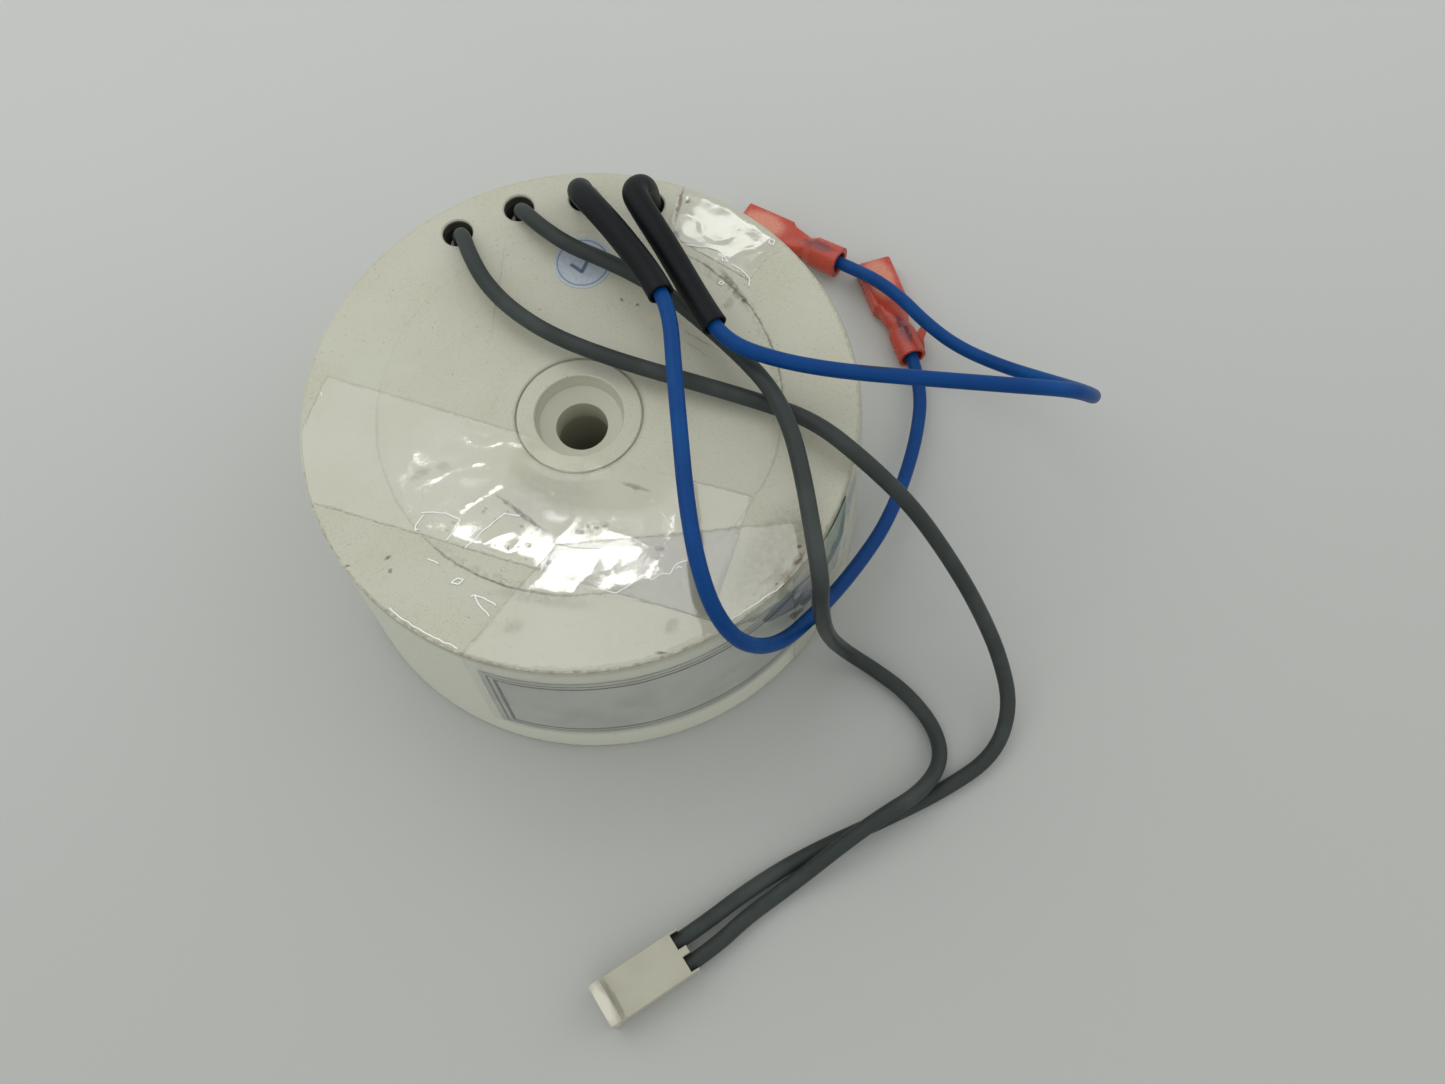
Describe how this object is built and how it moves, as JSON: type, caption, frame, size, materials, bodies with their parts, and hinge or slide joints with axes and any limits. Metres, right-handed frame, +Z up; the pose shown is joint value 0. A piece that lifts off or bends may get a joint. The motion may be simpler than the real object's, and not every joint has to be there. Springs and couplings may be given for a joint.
{
  "type": "toroidal transformer",
  "caption": "Potted toroidal transformer in a round moulded can, with a centre bush for a bolt, flexible leads, a small wire housing and insulated push-on terminals.",
  "frame": {"origin": "centre of the can's open base, on the plane it stands on", "axes": "+Z up the can's axis, away from the base; the lead outlets are towards +Y and the paper label towards -Y"},
  "size_m": [0.1498, 0.1633, 0.0606],
  "materials": {
    "can_moulding": "cream moulded thermoplastic, satin, with fine scratches and grime",
    "bush_moulding": "cream moulded thermoplastic, satin",
    "resin": "black cast potting resin",
    "core_steel": "wound silicon steel strip",
    "winding_film": "polyester film wrap",
    "winding_wire": "enamelled copper wire, close wound",
    "splice_cap": "insulated crimp splice",
    "cutout_body": "thermal cut-out in a plastic case",
    "grey_insulation": "grey PVC insulation, satin",
    "blue_insulation": "blue PVC insulation, satin",
    "sleeve_black": "black insulating sleeve",
    "housing_nylon": "natural nylon",
    "tinned_contact": "tinned crimp contact",
    "cover_red": "translucent salmon-red nylon",
    "terminal_brass": "stamped brass",
    "label_paper": "printed paper label with a plain double frame",
    "patch_green": "small green paper patch",
    "sticker_silver": "small round inspection sticker with a plain tick",
    "clear_tape": "clear film tape, wrinkled"
  },
  "bodies": {
    "root": {"can": "can_moulding", "centre_bush": "bush_moulding", "contact_grey_a": "tinned_contact", "contact_grey_b": "tinned_contact", "core_insulation": "winding_film", "green_patch": "patch_green", "interlayer_insulation": "winding_film", "lead_blue_a": "blue_insulation", "lead_blue_b": "blue_insulation", "lead_grey_a": "grey_insulation", "lead_grey_b": "grey_insulation", "outer_wrap": "winding_film", "paper_label": "label_paper", "primary_winding": "winding_wire", "receptacle_a": "terminal_brass", "receptacle_b": "terminal_brass", "resin_fill": "resin", "round_sticker": "sticker_silver", "secondary_winding": "winding_wire", "sleeve_blue_a": "sleeve_black", "sleeve_blue_b": "sleeve_black", "splice_blue_a": "splice_cap", "splice_blue_b": "splice_cap", "splice_grey_a": "splice_cap", "splice_grey_b": "splice_cap", "steel_core": "core_steel", "tape_back": "clear_tape", "tape_front": "clear_tape", "tape_left": "clear_tape", "terminal_cover_a": "cover_red", "terminal_cover_b": "cover_red", "thermal_cutout": "cutout_body", "wire_housing": "housing_nylon"}
  },
  "joints": []
}
